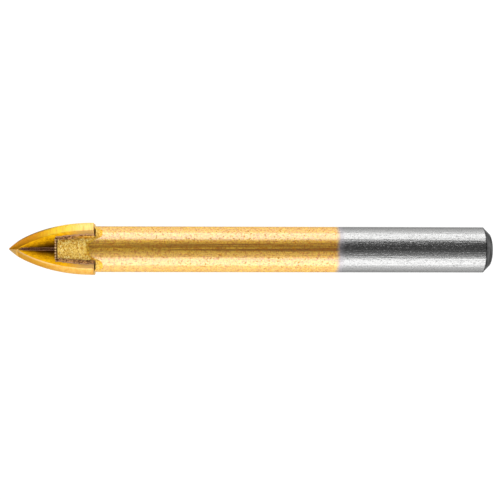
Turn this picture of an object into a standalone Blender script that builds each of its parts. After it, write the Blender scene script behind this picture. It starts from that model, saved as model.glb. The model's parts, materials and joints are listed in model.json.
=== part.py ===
"""Glass and tile drill bit: a turned steel bar with a cross of ground carbide plates brazed into its front.

Sizes are in metres. Each piece is modelled along the bit's own axis, which runs +Z from the point to the end
of the shank. An empty then lays the bit down along X, on two cutting edges and the rim of its shank.
The bit cuts clockwise as seen from its shank, so every cutting edge is on the -across side of its plate.
"""

import math

import bmesh
import bpy
from mathutils import Matrix

# Nominal sizes
OVERALL_LENGTH = 0.090
HEAD_DIAMETER = 0.012
SHANK_DIAMETER = 0.0085

# Ground head, measured back from the point
HEAD_LENGTH = 0.0158
OGIVE_LENGTH = 0.0156
POINT_LOSS = 0.0001
REAR_CHAMFER = 0.00015
LAND_RELIEF = math.radians(5)
POINT_THINNING = math.radians(45)

# Carbide plates
PLATE_THICKNESS = 0.00185
PLATE_SEAM = 0.0001
SIDE_BLADE_FRONT_EDGE = 0.00008

# Cross slot and the prongs that it leaves
SLOT_CLEARANCE = 0.0003
SLOT_FLOOR_GAP = 0.00025
PRONG_FRONT = 0.0090
PRONG_TAPER_START = 0.0143
PRONG_TAPER = math.radians(5.5)
PRONG_CHAMFER = 0.0002

# Shank
COAT_END = 0.0609
END_FACE_RADIUS = 0.0018
END_CROWN_RADIUS = 0.0030
END_CROWN_DEPTH = 0.00035

# Braze
BRAZE_GAP = 0.00005
CORNER_FILLET = 0.0003
FILLET_THROAT = 0.35
HOLLOW_ALONG = 0.3
HOLLOW_DEPTH = 0.4
BRAZE_CLIMB_SHARE = 0.5
BRAZE_FRONT_BEAD = 0.00025
BRAZE_BEAD_RAMP = 0.0002

# Fineness of the curved faces
BAR_STEPS = 96
CROWN_STEPS = 4
OGIVE_STEPS = 30
LAND_STEPS = 4
PRONG_STEPS = 6
SHARP_ANGLE = math.radians(25)
MERGE_DISTANCE = 0.000001

HEAD_RADIUS = HEAD_DIAMETER / 2
SHANK_RADIUS = SHANK_DIAMETER / 2
HALF_PLATE = PLATE_THICKNESS / 2
HALF_SLOT = HALF_PLATE + SLOT_CLEARANCE
SLOT_FLOOR = HEAD_LENGTH + SLOT_FLOOR_GAP
OGIVE_TANGENT = OGIVE_LENGTH - POINT_LOSS
OGIVE_ARC = (OGIVE_LENGTH**2 + HEAD_RADIUS**2) / (2 * HEAD_RADIUS)
CHAMFER_START = OVERALL_LENGTH - END_CROWN_DEPTH - (SHANK_RADIUS - END_CROWN_RADIUS)


def clear_scene():
    for old in list(bpy.data.objects):
        bpy.data.objects.remove(old, do_unlink=True)


def make_material(name, colour, metallic, roughness):
    material = bpy.data.materials.new(name)
    material.use_nodes = True
    shader = material.node_tree.nodes["Principled BSDF"]
    shader.inputs["Base Color"].default_value = (*colour, 1)
    shader.inputs["Metallic"].default_value = metallic
    shader.inputs["Roughness"].default_value = roughness
    return material


def add_object(name, bm, materials, parent):
    """Turn a bmesh into a smooth-shaded object with sharp edges, carried by the bit's axis."""
    bmesh.ops.recalc_face_normals(bm, faces=bm.faces)
    mesh = bpy.data.meshes.new(name)
    bm.to_mesh(mesh)
    bm.free()
    for material in materials:
        mesh.materials.append(material)
    mesh.shade_smooth()
    mesh.set_sharp_from_angle(angle=SHARP_ANGLE)
    piece = bpy.data.objects.new(name, mesh)
    bpy.context.collection.objects.link(piece)
    piece.parent = parent
    return piece


def loft(sections):
    """Skin closed sections of equally many points, given as (height, [(x, y), ...]), and cap both ends."""
    bm = bmesh.new()
    rings = []
    for height, outline in sections:
        rings.append([bm.verts.new((x, y, height)) for x, y in outline])
    for near, far in zip(rings, rings[1:]):
        for i, vert in enumerate(near):
            j = (i + 1) % len(near)
            bm.faces.new((vert, near[j], far[j], far[i]))
    bm.faces.new(rings[0][::-1])
    bm.faces.new(rings[-1])
    return bm


def quarter_turned(outline, quarters):
    """Turn an outline about the axis by whole quarters."""
    for _ in range(quarters):
        outline = [(-y, x) for x, y in outline]
    return outline


def ogive_radius(height):
    """Radius of the ogive that the cutting edges sweep, with the chamfer at the head's rear."""
    ahead = max(OGIVE_TANGENT - height, 0)
    past_chamfer = max(height - (HEAD_LENGTH - REAR_CHAMFER), 0)
    return HEAD_RADIUS - OGIVE_ARC + math.sqrt(OGIVE_ARC**2 - ahead**2) - past_chamfer


def ogive_height(radius):
    """Height at which the ogive reaches a radius."""
    return OGIVE_TANGENT - math.sqrt(OGIVE_ARC**2 - (radius - HEAD_RADIUS + OGIVE_ARC) ** 2)


def head_heights(first):
    """Heights of the head's sections: even steps of angle round the ogive's arc, then the rear chamfer."""
    start_angle = math.asin((OGIVE_TANGENT - first) / OGIVE_ARC)
    end = HEAD_LENGTH - REAR_CHAMFER
    heights = []
    for step in range(OGIVE_STEPS + 1):
        angle = start_angle * (1 - step / OGIVE_STEPS)
        heights.append(OGIVE_TANGENT - OGIVE_ARC * math.sin(angle))
    return [height for height in heights if height < end] + [end, HEAD_LENGTH]


def land(height, half):
    """Points (along the plate, across it) over one land, from its cutting edge back to its heel."""
    radius = ogive_radius(height)
    points = []
    for step in range(LAND_STEPS + 1):
        across = half * (2 * step / LAND_STEPS - 1)
        relief = (across + half) * math.tan(LAND_RELIEF)
        points.append((math.sqrt(radius**2 - across**2) - relief, across))
    return points


def main_blade_section(height):
    """The plate's full width, thinned towards the point by two flats on each side."""
    half = min(HALF_PLATE, ogive_radius(height) * math.sin(POINT_THINNING))
    edge = land(height, half)
    return edge + [(-along, -across) for along, across in edge]


def side_blade_section(height):
    """One half plate, from the seam on the main plate's side out to its land."""
    inner = HALF_PLATE + PLATE_SEAM
    least = inner + SIDE_BLADE_FRONT_EDGE
    edge = [(max(along, least), across) for along, across in land(height, HALF_PLATE)]
    return edge + [(inner, HALF_PLATE), (inner, -HALF_PLATE)]


def make_main_blade(material, parent):
    thinning_end = ogive_height(HALF_PLATE / math.sin(POINT_THINNING))
    heights = sorted(head_heights(0) + [thinning_end])
    sections = [(height, main_blade_section(height)) for height in heights]
    return add_object("main_blade", loft(sections), [material], parent)


def make_side_blades(material, parent):
    inner_edge = HALF_PLATE + PLATE_SEAM + SIDE_BLADE_FRONT_EDGE
    first = ogive_height(math.hypot(inner_edge, HALF_PLATE))
    for number, quarters in ((1, 1), (2, 3)):
        sections = []
        for height in head_heights(first):
            sections.append((height, quarter_turned(side_blade_section(height), quarters)))
        add_object(f"side_blade_{number}", loft(sections), [material], parent)


def prong_radius(height):
    """Outer radius of the bar in front of its slot's floor, where it tapers towards the point."""
    return SHANK_RADIUS - max(PRONG_TAPER_START - height, 0) * math.tan(PRONG_TAPER)


def turned_bar():
    """The bar before it is slotted, spun from its outer profile."""
    crown = []
    for step in range(1, CROWN_STEPS + 1):
        share = step / CROWN_STEPS
        radius = END_FACE_RADIUS + (END_CROWN_RADIUS - END_FACE_RADIUS) * share
        crown.append((radius, OVERALL_LENGTH - END_CROWN_DEPTH * share**2))
    front_rim = PRONG_FRONT + PRONG_CHAMFER
    profile = [
        (0, OVERALL_LENGTH),
        (END_FACE_RADIUS, OVERALL_LENGTH),
        *crown,
        (SHANK_RADIUS, CHAMFER_START),
        (SHANK_RADIUS, COAT_END),
        (SHANK_RADIUS, PRONG_TAPER_START),
        (prong_radius(front_rim), front_rim),
        (prong_radius(front_rim) - PRONG_CHAMFER, PRONG_FRONT),
        (0, PRONG_FRONT),
    ]
    bm = bmesh.new()
    verts = [bm.verts.new((radius, 0, height)) for radius, height in profile]
    edges = [bm.edges.new(pair) for pair in zip(verts, verts[1:])]
    bmesh.ops.spin(
        bm,
        geom=verts + edges,
        cent=(0, 0, 0),
        axis=(0, 0, 1),
        angle=math.tau,
        steps=BAR_STEPS,
        use_merge=True,
    )
    bmesh.ops.remove_doubles(bm, verts=bm.verts, dist=MERGE_DISTANCE)
    for face in bm.faces:
        face.material_index = int(face.calc_center_median().z > COAT_END)
    return bm


def slot_cutter(name, quarters, parent):
    """A milling cut straight across the bar, from in front of it down to the slot's floor."""
    reach = SHANK_RADIUS + SLOT_CLEARANCE
    outline = [(reach, -HALF_SLOT), (reach, HALF_SLOT), (-reach, HALF_SLOT), (-reach, -HALF_SLOT)]
    outline = quarter_turned(outline, quarters)
    sections = [(PRONG_FRONT - SLOT_CLEARANCE, outline), (SLOT_FLOOR, outline)]
    cutter = add_object(name, loft(sections), [], parent)
    cutter.hide_render = True
    cutter.display_type = "WIRE"
    return cutter


def make_shank_body(coat, steel, parent):
    body = add_object("shank_body", turned_bar(), [coat, steel], parent)
    for name, quarters in (("main_slot_cutter", 0), ("side_slot_cutter", 1)):
        cut = body.modifiers.new(name, "BOOLEAN")
        cut.operation = "DIFFERENCE"
        cut.solver = "EXACT"
        cut.object = slot_cutter(name, quarters, parent)
    return body


def braze_section(edge, top, film):
    """The braze in one corner of the cross, as it runs out along both plates.

    film is its thickness, edge is where that ends, and top is how far its hollow fillet climbs the plates.
    """
    near = HALF_PLATE + BRAZE_GAP
    outer = near + film
    hollow = (edge + (top - edge) * HOLLOW_ALONG, near + film * HOLLOW_DEPTH)
    leg = [(top, near), hollow, (edge, outer)]
    return [(near, near)] + leg + [(outer, outer)] + [(across, along) for along, across in reversed(leg)]


def corner_section(leg):
    """The narrow fillet in the corner of the cross, in front of the prongs."""
    throat = leg * FILLET_THROAT
    return braze_section(HALF_PLATE + BRAZE_GAP + throat / HOLLOW_DEPTH / 2, HALF_PLATE + leg, throat)


def braze_sections():
    """Sections of one braze seam: the corner fillet, the bead before the prong, and the slot's filling."""
    film = SLOT_CLEARANCE - 2 * BRAZE_GAP
    fillet_start = ogive_height(math.sqrt(2) * (HALF_PLATE + CORNER_FILLET))
    bead_front = PRONG_FRONT - BRAZE_FRONT_BEAD
    sections = [
        (fillet_start, corner_section(CORNER_FILLET / 2)),
        (fillet_start + CORNER_FILLET, corner_section(CORNER_FILLET)),
        (bead_front - BRAZE_BEAD_RAMP, corner_section(CORNER_FILLET)),
    ]
    for step in range(PRONG_STEPS + 1):
        height = bead_front + (HEAD_LENGTH - bead_front) * step / PRONG_STEPS
        edge = math.sqrt(prong_radius(height) ** 2 - HALF_SLOT**2)
        heel = land(height, HALF_PLATE)[-1][0]
        sections.append((height, braze_section(edge, edge + BRAZE_CLIMB_SHARE * (heel - edge), film)))
    sections.append((SLOT_FLOOR - BRAZE_GAP, braze_section(edge, edge + film, film)))
    return sections


def make_braze_seams(material, parent):
    for quarters in range(4):
        sections = [(height, quarter_turned(outline, quarters)) for height, outline in braze_sections()]
        add_object(f"braze_seam_{quarters + 1}", loft(sections), [material], parent)


def resting_pose():
    """Where the axis lies when two neighbouring blades and the shank's rear rim touch the ground.

    The ground meets one blade's heel, at (heel, HALF_PLATE) across the head, and the next one's cutting
    edge, at (HALF_PLATE, cutting_edge), so the bit leans a little from having its blades at 45 degrees. The
    head is wider than the shank, so the axis falls towards the rear and the rear of the head's widest part
    touches.
    """
    widest = HEAD_LENGTH - REAR_CHAMFER
    edge = land(widest, HALF_PLATE)
    cutting_edge, heel = edge[0][0], edge[-1][0]
    run, rise = heel - HALF_PLATE, cutting_edge - HALF_PLATE
    lean = math.atan2(rise, run) - math.radians(45)
    drop = (heel * rise + HALF_PLATE * run) / math.hypot(run, rise)
    tilt = math.atan2(drop - SHANK_RADIUS, CHAMFER_START - widest)
    point_height = drop * math.cos(tilt) + widest * math.sin(tilt)
    lay_along_x = Matrix.Rotation(tilt + math.radians(90), 4, "Y")
    spin = Matrix.Rotation(math.radians(135) + lean, 4, "Z")
    return Matrix.Translation((-OVERALL_LENGTH / 2 * math.cos(tilt), 0, point_height)) @ lay_along_x @ spin


def make_axis():
    axis = bpy.data.objects.new("bit_axis", None)
    bpy.context.collection.objects.link(axis)
    axis.matrix_world = resting_pose()
    return axis


def main():
    clear_scene()
    coat = make_material("gold_nitride_coat", (0.83, 0.58, 0.2), 1.0, 0.25)
    coated_carbide = make_material("coated_carbide", (0.86, 0.52, 0.09), 1.0, 0.35)
    steel = make_material("bare_steel", (0.62, 0.62, 0.61), 1.0, 0.28)
    braze = make_material("braze", (0.3, 0.15, 0.07), 1.0, 0.6)
    axis = make_axis()
    make_shank_body(coat, steel, axis)
    make_main_blade(coated_carbide, axis)
    make_side_blades(coated_carbide, axis)
    make_braze_seams(braze, axis)


main()
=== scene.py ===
"""Glass and tile drill bit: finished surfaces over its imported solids, a pale floor, two soft boxes, a camera.

Sizes are in metres. Each piece is made along the bit's own axis, +Z from the point to the end of the shank,
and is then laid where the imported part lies. The main plate's width runs along the bit's X, the side plates'
along Y.
"""

import json
import math

import bmesh
import bpy
from mathutils import Matrix, Vector, noise


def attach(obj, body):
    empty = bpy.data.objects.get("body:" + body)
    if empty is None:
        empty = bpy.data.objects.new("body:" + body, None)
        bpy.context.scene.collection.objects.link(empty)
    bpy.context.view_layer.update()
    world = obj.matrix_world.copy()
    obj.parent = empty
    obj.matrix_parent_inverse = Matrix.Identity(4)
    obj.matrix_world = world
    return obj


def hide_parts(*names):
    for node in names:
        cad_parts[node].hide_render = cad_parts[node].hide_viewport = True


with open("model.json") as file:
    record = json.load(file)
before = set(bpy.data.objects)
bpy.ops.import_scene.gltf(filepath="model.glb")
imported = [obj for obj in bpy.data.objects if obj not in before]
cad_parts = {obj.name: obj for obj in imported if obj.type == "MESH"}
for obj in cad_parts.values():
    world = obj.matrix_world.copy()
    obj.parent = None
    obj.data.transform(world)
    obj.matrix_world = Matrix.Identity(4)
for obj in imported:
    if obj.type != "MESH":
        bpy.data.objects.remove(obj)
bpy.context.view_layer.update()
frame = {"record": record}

# Driving sizes, as the solids have them. The coat ends a little sooner, the corner fillet is a little wider
# and the point stands a hair inside, as the photo and the solids' box ask.
OVERALL_LENGTH = 0.090
HEAD_RADIUS = 0.006
SHANK_RADIUS = 0.00425
HEAD_LENGTH = 0.0158
OGIVE_LENGTH = 0.0156
POINT_LOSS = 0.0001
POINT_INSET = 0.000002
REAR_CHAMFER = 0.00015
LAND_RELIEF = math.radians(5)
POINT_THINNING = math.radians(45)
HALF_PLATE = 0.000925
PLATE_SEAM = 0.0001
SIDE_BLADE_FRONT_EDGE = 0.00008
SLOT_CLEARANCE = 0.0003
SLOT_FLOOR_GAP = 0.00025
PRONG_FRONT = 0.0090
PRONG_TAPER_START = 0.0143
PRONG_TAPER = math.radians(5.5)
PRONG_CHAMFER = 0.0002
COAT_END = 0.0607
END_FACE_RADIUS = 0.0018
END_CROWN_RADIUS = 0.0030
END_CROWN_DEPTH = 0.00035
BRAZE_GAP = 0.00005
CORNER_FILLET = 0.00037
FILLET_THROAT = 0.35
HOLLOW_ALONG = 0.3
HOLLOW_DEPTH = 0.4
BRAZE_CLIMB_SHARE = 0.5
BRAZE_FRONT_BEAD = 0.00025
BRAZE_BEAD_RAMP = 0.0002

HALF_SLOT = HALF_PLATE + SLOT_CLEARANCE
SLOT_FLOOR = HEAD_LENGTH + SLOT_FLOOR_GAP
OGIVE_TANGENT = OGIVE_LENGTH - POINT_LOSS
OGIVE_ARC = (OGIVE_LENGTH**2 + HEAD_RADIUS**2) / (2 * HEAD_RADIUS)
CHAMFER_START = OVERALL_LENGTH - END_CROWN_DEPTH - (SHANK_RADIUS - END_CROWN_RADIUS)

# Fineness of the finished meshes
PRONG_ARC_STEPS = 64
MOUTH_STEPS = 10
PRONG_RING_GAP = 0.00009
COAT_RING_GAP = 0.00012
NECK_LENGTH = 0.002
SHANK_RING_GAP = 0.0012
BLADE_STEPS_ACROSS = 18
BLADE_STEPS_ALONG = 72
BLADE_STEPS_UP = 200
ROUND_STEPS = 3
CHAMFER_SHARE = 0.97
BLADE_EDGE_ROUND = 0.00004
BRAZE_RING_GAP = 0.00008
FILLET_STEPS = 6
END_EDGE_RING_GAP = 0.00015
END_EDGE_RINGS = 4
CHAMFER_STEPS = 8
CROWN_STEPS = 8
BEAD_ARC_STEPS = 16
SHARP_ANGLE = math.radians(32)

# Finish zones on the bar, with its painted shade and painted reflection lines. Heights are back from the point
BLAST_END_MIDDLE = 0.0144
BLAST_END_SIDE = 0.0168
BLAST_MIDDLE_HALF = math.radians(12)
BLAST_SIDE_HALF = math.radians(38)
BLAST_FADE = 0.0007
BLAST_DEPTH = 0.00007
PAINTED_SHADE_FRONT_END = 0.0092
SHADE_SHARE = 0.16
SHADE_MIDDLE_HALF = math.radians(8)
SHADE_SIDE_HALF = math.radians(24)
SHADE_END = 0.0168
COAT_FADE = 0.0007
COAT_SLANT = 0.00012
COAT_SLANT_SIDES = (-0.1, 0.6)
TINT_LENGTH = 0.0016
# Painted reflection: dark lines in a strip along the laid bar's top
REFLECTION_LINES_MIDDLE = math.radians(5)
REFLECTION_LINES_HALF = math.radians(13)
REFLECTION_LINES_FULL_SHARE = 0.6
REFLECTION_LINES_FRONT_SHARE = 0.6
REFLECTION_LINES_FRONT = (0.02, 0.05)

# Finish zones on the blades and the braze, with the painted corner shade and edge highlight: from where to
# where each change runs, back from the point
FACE_TIP = (0.0010, 0.0026)
FACE_REAR = (0.0100, 0.0145)
CORNER_SHADE_FRONT = (0.0016, 0.0032)
CORNER_SHADE_LENGTH = (0.0022, 0.0090)
CORNER_SHADE_WIDTH = (0.00025, 0.0026)
CORNER_SHADE_WANDER = 0.0003
LAND_FRONT = (0.0040, 0.0090)
LAND_FRONT_WANDER = 0.006
LAND_REAR = (0.0100, 0.0150)
LAND_REAR_WANDER = 0.003
SIDE_LAND_REAR = (0.0055, 0.0105)
OLIVE_EDGE_END = (0.0075, 0.0100)
# Painted highlight along the side plates' cutting edges, fading out here
EDGE_HIGHLIGHT_END = (0.0070, 0.0100)
GLOSSY_LAND = (0.006, 0.014)
KEEN_SHARE = (-0.34, -0.19)
BRAZE_COATED = (0.0112, 0.0140)

# Grain of the surfaces, in lumps to the metre. A pair runs along the bit and across it
BAR_FINE = 3300
BAR_MOTTLE = 2300
BAR_LUMPS = 2400
BAR_PITS = 2900
BAR_STREAKS = (1300, 5200)
BAR_LINES = (40, 4200)
REFLECTION_LINE_GRAIN = (12, 3600)
TURNED_RINGS = (9000, 500)
COAT_EDGE_GRAIN = 1800
CHAMFER_EDGE_GRAIN = 1500
BLADE_MARKS = (5200, 500)
BLADE_MOTTLE = 1700
BLADE_FINE = 5000
BRAZE_LUMPS = 2300
BRAZE_STREAKS = (900, 5200)
BEAD_GRAIN = 3500
FLOOR_GRAIN = 60

# Depths of the relief in the materials
BAR_RELIEF = 0.00012
BLADE_RELIEF = 0.00006
BRAZE_RELIEF = 0.00012
BEAD_RELIEF = 0.00001

# Dents, grinding marks and lumps in the shapes
DENT_SCALE = 2400
MARK_DEPTH = 0.000006
MARK_SCALE = 3000.0
MARK_ACROSS_SHARE = 0.12
BRAZE_SWELL = 0.00012
BRAZE_SWELL_SCALE = 2600
CLIMB_WANDER = 0.12
CLIMB_WANDER_SCALE = 2400
SEAM_SHIFT = 0.1
BEAD_GAP = 0.00050
BEAD_RADIUS = 0.00018
BEAD_SMALLEST = 0.7
BEAD_LARGEST = 1.3
BEAD_AHEAD = 0.00024
BEAD_INSET = 0.00004
BEAD_OFF_PLATE = 0.00015
BEAD_LEG = 0.0010
BEAD_LEG_GAP = 0.0002

# Studio
FLOOR_WHITE_SHARE = 0.82
FLOOR_WHITE = 1.10
BOX_BACK_LIGHT = 2.2
BOX_FRONT_LIGHT = 2.0
TOP_LIGHT = 1.6
TOP_LIGHT_SPREAD = math.radians(20)
TOP_LIGHT_HEIGHT = 0.5
BOX_FOOT = math.radians(1)
BOX_BACK_TOP = math.radians(40.5)
BOX_FRONT_TOP = math.radians(46)
BOX_DISTANCE = 0.5
BOX_LENGTH = 0.9
FLOOR_HALF = 2.0
FLOOR_DROP = 0.00001
HORIZON_TOP = (0.04, 0.25)
HORIZON_ENDS = (0.45, 0.85)
HORIZON_LIGHT = 0.85
HORIZON_END_LIGHT = 0.15
CEILING_FRONT = math.radians(-38)
CEILING_DARKEST = math.radians(3)
CEILING_BACK = math.radians(40)
CEILING_FRONT_LIGHT = 0.45
CEILING_LIGHT = 0.07

# Camera: over the bit, a little towards its point
CAMERA_DISTANCE = 0.300
CAMERA_TILT = math.radians(3.0)
CAMERA_LEAN = math.radians(-0.95)
CAMERA_ROLL = math.radians(0.06)
CAMERA_AIM = Vector((-0.00037, -0.0001, 0.0045))
CAMERA_LENS = 115.8
CAMERA_SENSOR = 36.0
CAMERA_NEAREST = 0.01
CAMERA_FURTHEST = 20


def ogive_radius(height):
    """Radius that the cutting edges sweep, with the chamfer at the head's rear."""
    ahead = max(OGIVE_TANGENT - height, 0)
    past_chamfer = max(height - (HEAD_LENGTH - REAR_CHAMFER), 0)
    return HEAD_RADIUS - OGIVE_ARC + math.sqrt(OGIVE_ARC**2 - ahead**2) - past_chamfer


def ogive_height(radius):
    """Height at which the ogive reaches a radius."""
    return OGIVE_TANGENT - math.sqrt(OGIVE_ARC**2 - (radius - HEAD_RADIUS + OGIVE_ARC) ** 2)


def heel(height):
    """How far out the rear edge of a land lies."""
    relief = 2 * HALF_PLATE * math.tan(LAND_RELIEF)
    return math.sqrt(ogive_radius(height) ** 2 - HALF_PLATE**2) - relief


def prong_radius(height):
    """Outer radius of the bar, which tapers towards the point where it is slotted."""
    return SHANK_RADIUS - max(PRONG_TAPER_START - height, 0) * math.tan(PRONG_TAPER)


def smooth_step(low, high, value):
    share = min(max((value - low) / (high - low), 0), 1)
    return share * share * (3 - 2 * share)


def laid_axis():
    """The bit's own frame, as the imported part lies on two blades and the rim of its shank."""
    mount = frame["record"]["mounts"][0]
    along = Vector(mount["axis"]).normalized()
    point = Vector(mount["pos_m"]) - along * OVERALL_LENGTH
    tilt = math.atan2(-along.z, along.x)
    widest = HEAD_LENGTH - REAR_CHAMFER
    cutting_edge = math.sqrt(ogive_radius(widest) ** 2 - HALF_PLATE**2)
    lean = math.atan2(cutting_edge - HALF_PLATE, heel(widest) - HALF_PLATE) - math.radians(45)
    lay_along_x = Matrix.Rotation(tilt + math.radians(90), 4, "Y")
    spin = Matrix.Rotation(math.radians(135) + lean, 4, "Z")
    return Matrix.Translation(point) @ lay_along_x @ spin


BIT = laid_axis()


class Field:
    """A number in a node tree. Arithmetic on it adds math nodes."""

    def __init__(self, tree, socket):
        self.tree = tree
        self.socket = socket

    def math(self, operation, *others):
        node = self.tree.nodes.new("ShaderNodeMath")
        node.operation = operation
        for slot, value in zip(node.inputs, (self, *others)):
            feed(self.tree, slot, value)
        return Field(self.tree, node.outputs[0])

    def __add__(self, other):
        return self.math("ADD", other)

    def __sub__(self, other):
        return self.math("SUBTRACT", other)

    def __mul__(self, other):
        return self.math("MULTIPLY", other)

    def __truediv__(self, other):
        return self.math("DIVIDE", other)

    def least(self, other):
        return self.math("MINIMUM", other)

    def most(self, other):
        return self.math("MAXIMUM", other)

    def size(self):
        return self.math("ABSOLUTE")

    def sign(self):
        return self.math("SIGN")

    def squared(self):
        return self.math("MULTIPLY", self)

    def root(self):
        return self.math("SQRT")

    def sine(self):
        return self.math("SINE")

    def cosine(self):
        return self.math("COSINE")

    def share(self, low, high, to_low=0.0, to_high=1.0, smooth=True):
        """This number's place between low and high, spread from to_low to to_high."""
        node = self.tree.nodes.new("ShaderNodeMapRange")
        node.interpolation_type = "SMOOTHSTEP" if smooth else "LINEAR"
        feed(self.tree, node.inputs["Value"], self)
        feed(self.tree, node.inputs["From Min"], low)
        feed(self.tree, node.inputs["From Max"], high)
        feed(self.tree, node.inputs["To Min"], to_low)
        feed(self.tree, node.inputs["To Max"], to_high)
        return Field(self.tree, node.outputs["Result"])


def feed(tree, slot, value):
    """Set an input socket: link what comes from another node, and write plain values in."""
    if isinstance(value, Field):
        tree.links.new(value.socket, slot)
    elif isinstance(value, bpy.types.NodeSocket):
        tree.links.new(value, slot)
    else:
        slot.default_value = value


def add_node(tree, kind, inputs=None, **settings):
    node = tree.nodes.new(kind)
    for name, value in settings.items():
        setattr(node, name, value)
    for name, value in (inputs or {}).items():
        feed(tree, node.inputs[name], value)
    return node


def combine(tree, x, y, z):
    return add_node(tree, "ShaderNodeCombineXYZ", {"X": x, "Y": y, "Z": z}).outputs[0]


def separate(tree, vector):
    node = add_node(tree, "ShaderNodeSeparateXYZ", {"Vector": vector})
    return [Field(tree, node.outputs[name]) for name in "XYZ"]


def grain(tree, vector, scale, detail=2.0, roughness=0.5):
    """Noise from 0 to 1 along a vector, with scale lumps to the metre."""
    values = {"Vector": vector, "Scale": scale, "Detail": detail, "Roughness": roughness}
    return Field(tree, add_node(tree, "ShaderNodeTexNoise", values).outputs[0])


# Geometry trees


def new_geometry_tree(name, sockets):
    """An empty geometry tree with named inputs, and those inputs as fields by name."""
    tree = bpy.data.node_groups.new(name, "GeometryNodeTree")
    tree.interface.new_socket("Geometry", in_out="OUTPUT", socket_type="NodeSocketGeometry")
    for label, kind in sockets.items():
        tree.interface.new_socket(label, in_out="INPUT", socket_type=f"NodeSocket{kind}")
    group_input = tree.nodes.new("NodeGroupInput")
    inputs = {label: Field(tree, group_input.outputs[label]) for label in sockets}
    return tree, inputs


def store(tree, geometry, name, value):
    """Keep a number on each point of a mesh under a name, for its material."""
    values = {"Geometry": geometry, "Name": name, "Value": value}
    return add_node(tree, "GeometryNodeStoreNamedAttribute", values).outputs[0]


def end_geometry_tree(tree, geometry, material):
    """Every tree ends in real geometry with its material."""
    realized = add_node(tree, "GeometryNodeRealizeInstances", {"Geometry": geometry}).outputs[0]
    values = {"Geometry": realized, "Material": material}
    dressed = add_node(tree, "GeometryNodeSetMaterial", values).outputs[0]
    smooth = add_node(tree, "GeometryNodeSetShadeSmooth", {"Geometry": dressed})
    output = tree.nodes.new("NodeGroupOutput")
    tree.links.new(smooth.outputs[0], output.inputs[0])


def grow(tree, base, values):
    """Run a geometry tree on a base object with these inputs, and give the result as a plain mesh."""
    bpy.context.collection.objects.link(base)
    grower = base.modifiers.new(tree.name, "NODES")
    grower.node_group = tree
    for item in tree.interface.items_tree:
        if item.item_type == "SOCKET" and item.in_out == "INPUT" and item.name in values:
            grower[item.identifier] = values[item.name]
    graph = bpy.context.evaluated_depsgraph_get()
    mesh = bpy.data.meshes.new_from_object(base.evaluated_get(graph))
    base.modifiers.remove(grower)
    bpy.data.objects.remove(base)
    return mesh


def place(name, mesh, replaced=(), quarters=0, sharp_angle=None):
    """Lay a mesh made along the bit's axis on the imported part, as a piece that rides on it."""
    mesh.name = name
    mesh.transform(BIT @ Matrix.Rotation(math.radians(90) * quarters, 4, "Z"))
    if sharp_angle is not None:
        mesh.shade_smooth()
        mesh.set_sharp_from_angle(angle=sharp_angle)
    piece = bpy.data.objects.new(name, mesh)
    bpy.context.collection.objects.link(piece)
    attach(piece, "root")
    if replaced:
        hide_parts(*replaced)
    return piece


# Materials


def new_material(name):
    material = bpy.data.materials.new(name)
    material.use_nodes = True
    tree = material.node_tree
    shader = tree.nodes["Principled BSDF"]
    where = add_node(tree, "ShaderNodeTexCoord").outputs["Object"]
    return material, tree, shader, where


def stretched_grain(tree, vector, pair, detail=2.0, roughness=0.5):
    """Noise with its own scale along the bit and across it, for marks that follow the bit or run round it."""
    along, across = pair
    values = {"Vector": vector, "Scale": (along, across, across)}
    mapping = add_node(tree, "ShaderNodeMapping", values)
    return grain(tree, mapping.outputs[0], 1.0, detail, roughness)


def blend(tree, share, first, second):
    """A colour between two colours."""
    node = add_node(tree, "ShaderNodeMix", data_type="RGBA")
    feed(tree, node.inputs[0], share)
    feed(tree, node.inputs[6], first)
    feed(tree, node.inputs[7], second)
    return node.outputs[2]


def between(tree, share, first, second):
    """A number between two numbers."""
    node = add_node(tree, "ShaderNodeMix", data_type="FLOAT")
    feed(tree, node.inputs[0], share)
    feed(tree, node.inputs[2], first)
    feed(tree, node.inputs[3], second)
    return Field(tree, node.outputs[0])


def zone(tree, name):
    """A finish zone painted on a mesh as an attribute."""
    return Field(tree, add_node(tree, "ShaderNodeAttribute", attribute_name=name).outputs["Fac"])


def bump(tree, shader, height, depth):
    node = add_node(tree, "ShaderNodeBump", {"Strength": 1.0, "Distance": depth, "Height": height})
    tree.links.new(node.outputs[0], shader.inputs["Normal"])


# Colours
GOLD = (1.0, 0.66, 0.05, 1)
GOLD_DEEP = (0.74, 0.29, 0.010, 1)
GOLD_PIT = (0.45, 0.15, 0.004, 1)
# Painted reflection: dark lines along the laid bar's top
GOLD_PAINTED_REFLECTION = (0.42, 0.13, 0.003, 1)
GOLD_BLASTED = (1.0, 0.70, 0.15, 1)
GOLD_BLASTED_DEEP = (0.58, 0.24, 0.012, 1)
GOLD_GLINT = (1.0, 0.88, 0.42, 1)
# Painted shade on the bar, at the prongs' fronts and in a patch behind each
PAINTED_SHADE_BROWN = (0.10, 0.04, 0.012, 1)
STEEL = (0.41, 0.41, 0.407, 1)
STEEL_DULL = (0.35, 0.35, 0.35, 1)
STEEL_TINT = (0.47, 0.44, 0.46, 1)
STEEL_PIT = (0.13, 0.13, 0.13, 1)
EDGE_DARK = (0.015, 0.015, 0.015, 1)
TURNED_STEEL = (0.17, 0.17, 0.17, 1)
TURNED_STEEL_DARK = (0.06, 0.06, 0.06, 1)
EDGE_TINT = (0.42, 0.42, 0.42, 1)
BLADE_FACE = (0.85, 0.46, 0.002, 1)
BLADE_FACE_DEEP = (0.62, 0.29, 0.001, 1)
BLADE_FACE_REAR = (0.52, 0.32, 0.10, 1)
BLADE_TIP = (0.55, 0.33, 0.10, 1)
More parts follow.
